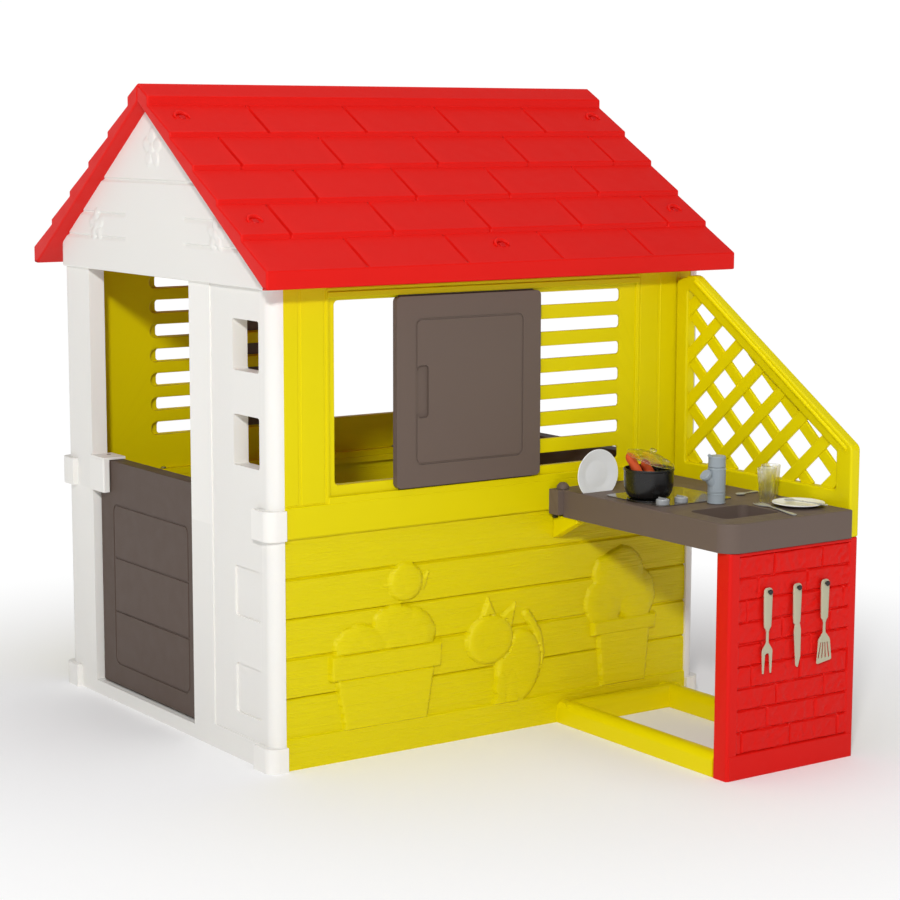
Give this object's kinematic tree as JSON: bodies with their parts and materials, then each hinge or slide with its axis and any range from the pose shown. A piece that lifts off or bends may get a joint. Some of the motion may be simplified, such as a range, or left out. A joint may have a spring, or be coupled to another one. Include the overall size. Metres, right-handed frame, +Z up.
{
  "type": "playhouse",
  "caption": "Child's plastic playhouse with tiled gable roof, half doors, sliding shutters, louvres and a side kitchen with sink, hob, hanging tools and play dishes.",
  "frame": {"origin": "centre of the whole object's box on the floor", "axes": "+Z up; the front gable faces -Y; the kitchen stands at +X; the ridge runs along Y"},
  "size_m": [1.4486, 1.1, 1.27],
  "materials": {
    "white_plastic": "satin moulded",
    "yellow_green_plastic": "satin moulded, fine wood grain on the boards",
    "red_plastic": "satin moulded",
    "taupe_plastic": "satin moulded",
    "hob_gloss": "mirror-smooth",
    "black_plastic": "matte",
    "silver_plastic": "smooth",
    "grey_plastic": "satin",
    "plate_plastic": "smooth",
    "clear_plastic": "clear",
    "utensil_plastic": "satin",
    "cutlery_plastic": "smooth",
    "sausage_plastic": "satin",
    "screw_red": "satin",
    "screw_steel": "zinc plated"
  },
  "bodies": {
    "house": {"front_lower_end_wall": "white_plastic", "front_upper_door_post": "white_plastic", "front_upper_end_wall": "white_plastic", "front_gable": "white_plastic", "back_lower_end_wall": "white_plastic", "back_upper_door_post": "white_plastic", "back_upper_end_wall": "white_plastic", "back_gable": "white_plastic", "right_lower_wall": "yellow_green_plastic", "right_upper_wall": "yellow_green_plastic", "right_roof_half": "red_plastic", "left_lower_wall": "yellow_green_plastic", "left_upper_wall": "yellow_green_plastic", "left_roof_half": "red_plastic", "roof_screws": "screw_red", "wall_screws": "screw_steel", "kitchen_side_panel": "red_plastic", "kitchen_lattice_panel": "yellow_green_plastic", "worktop": "taupe_plastic", "worktop_wall_bracket": "taupe_plastic", "worktop_gussets": "yellow_green_plastic", "gusset_clips": "black_plastic", "floor_frame": "yellow_green_plastic", "hob_plate": "hob_gloss", "hob_burner": "black_plastic", "tap_base": "grey_plastic", "tool_hooks": "red_plastic"},
    "front_door": {"front_half_door": "taupe_plastic"},
    "back_door": {"back_half_door": "taupe_plastic"},
    "right_shutter_body": {"right_shutter": "taupe_plastic"},
    "left_shutter_body": {"left_shutter": "taupe_plastic"},
    "bracket_knob": {"worktop_bracket_knob": "taupe_plastic"},
    "hob_knob_one": {"hob_knob_1": "silver_plastic"},
    "hob_knob_two": {"hob_knob_2": "silver_plastic"},
    "tap_sleeve": {"tap_spout_sleeve": "grey_plastic"},
    "tap_top": {"tap_cap": "grey_plastic"},
    "fork_on_hook": {"hanging_fork": "utensil_plastic"},
    "knife_on_hook": {"hanging_knife": "utensil_plastic"},
    "spatula_on_hook": {"hanging_spatula": "utensil_plastic"},
    "pot": {"cooking_pot": "black_plastic", "toy_sausages": "sausage_plastic"},
    "lid": {"pot_lid": "clear_plastic"},
    "rack_plate": {"upright_plate": "plate_plastic"},
    "table_plate": {"flat_plate": "plate_plastic"},
    "plate_spoon_body": {"plate_spoon": "cutlery_plastic"},
    "front_tumbler": {"tumbler_1": "clear_plastic"},
    "rear_tumbler": {"tumbler_2": "clear_plastic"},
    "fork": {"table_fork": "cutlery_plastic"},
    "spoon": {"side_spoon": "cutlery_plastic"}
  },
  "joints": [
    {"name": "front_door_hinge", "type": "hinge", "parent": "house", "child": "front_door", "pos_m": [-0.52485, -0.482, 0.3], "axis": [0, 0, 1], "range_deg": [0, 90]},
    {"name": "back_door_hinge", "type": "hinge", "parent": "house", "child": "back_door", "pos_m": [0.05635, 0.482, 0.3], "axis": [0, 0, 1], "range_deg": [0, 90]},
    {"name": "right_shutter_slide", "type": "slide", "parent": "house", "child": "right_shutter_body", "axis": [0, 1, 0], "range_m": [-0.1405, 0.2475]},
    {"name": "left_shutter_slide", "type": "slide", "parent": "house", "child": "left_shutter_body", "axis": [0, -1, 0], "range_m": [-0.2345, 0.1535]},
    {"name": "bracket_knob_turn", "type": "hinge", "parent": "house", "child": "bracket_knob", "pos_m": [0.21475, 0.145, 0.48], "axis": [0, 0, 1], "range_deg": [-90, 90]},
    {"name": "hob_knob_one_turn", "type": "hinge", "parent": "house", "child": "hob_knob_one", "pos_m": [0.47675, 0.182, 0.482], "axis": [0, 0, 1], "range_deg": [-135, 135]},
    {"name": "hob_knob_two_turn", "type": "hinge", "parent": "house", "child": "hob_knob_two", "pos_m": [0.47675, 0.228, 0.482], "axis": [0, 0, 1], "range_deg": [-135, 135]},
    {"name": "tap_spout_turn", "type": "hinge", "parent": "house", "child": "tap_sleeve", "pos_m": [0.51575, 0.282, 0.52], "axis": [0, 0, 1], "range_deg": [-90, 90]},
    {"name": "tap_cap_turn", "type": "hinge", "parent": "house", "child": "tap_top", "pos_m": [0.51575, 0.282, 0.56], "axis": [0, 0, 1], "range_deg": [-90, 90]},
    {"name": "fork_swing", "type": "hinge", "parent": "house", "child": "fork_on_hook", "pos_m": [0.71575, 0.236, 0.348], "axis": [1, 0, 0], "range_deg": [-15, 15]},
    {"name": "knife_swing", "type": "hinge", "parent": "house", "child": "knife_on_hook", "pos_m": [0.71575, 0.308, 0.348], "axis": [1, 0, 0], "range_deg": [-15, 15]},
    {"name": "spatula_swing", "type": "hinge", "parent": "house", "child": "spatula_on_hook", "pos_m": [0.71575, 0.379, 0.348], "axis": [1, 0, 0], "range_deg": [-15, 15]},
    {"name": "pot_lift", "type": "slide", "parent": "house", "child": "pot", "axis": [0, 0, 1], "range_m": [0, 0.2]},
    {"name": "lid_lift", "type": "slide", "parent": "pot", "child": "lid", "axis": [0, 0, 1], "range_m": [0, 0.15]},
    {"name": "rack_plate_lift", "type": "slide", "parent": "house", "child": "rack_plate", "axis": [0, 0, 1], "range_m": [0, 0.15]},
    {"name": "table_plate_lift", "type": "slide", "parent": "house", "child": "table_plate", "axis": [0, 0, 1], "range_m": [0, 0.15]},
    {"name": "plate_spoon_lift", "type": "slide", "parent": "table_plate", "child": "plate_spoon_body", "axis": [0, 0, 1], "range_m": [0, 0.1]},
    {"name": "front_tumbler_lift", "type": "slide", "parent": "house", "child": "front_tumbler", "axis": [0, 0, 1], "range_m": [0, 0.15]},
    {"name": "rear_tumbler_lift", "type": "slide", "parent": "house", "child": "rear_tumbler", "axis": [0, 0, 1], "range_m": [0, 0.15]},
    {"name": "fork_lift", "type": "slide", "parent": "house", "child": "fork", "axis": [0, 0, 1], "range_m": [0, 0.1]},
    {"name": "spoon_lift", "type": "slide", "parent": "house", "child": "spoon", "axis": [0, 0, 1], "range_m": [0, 0.1]}
  ]
}
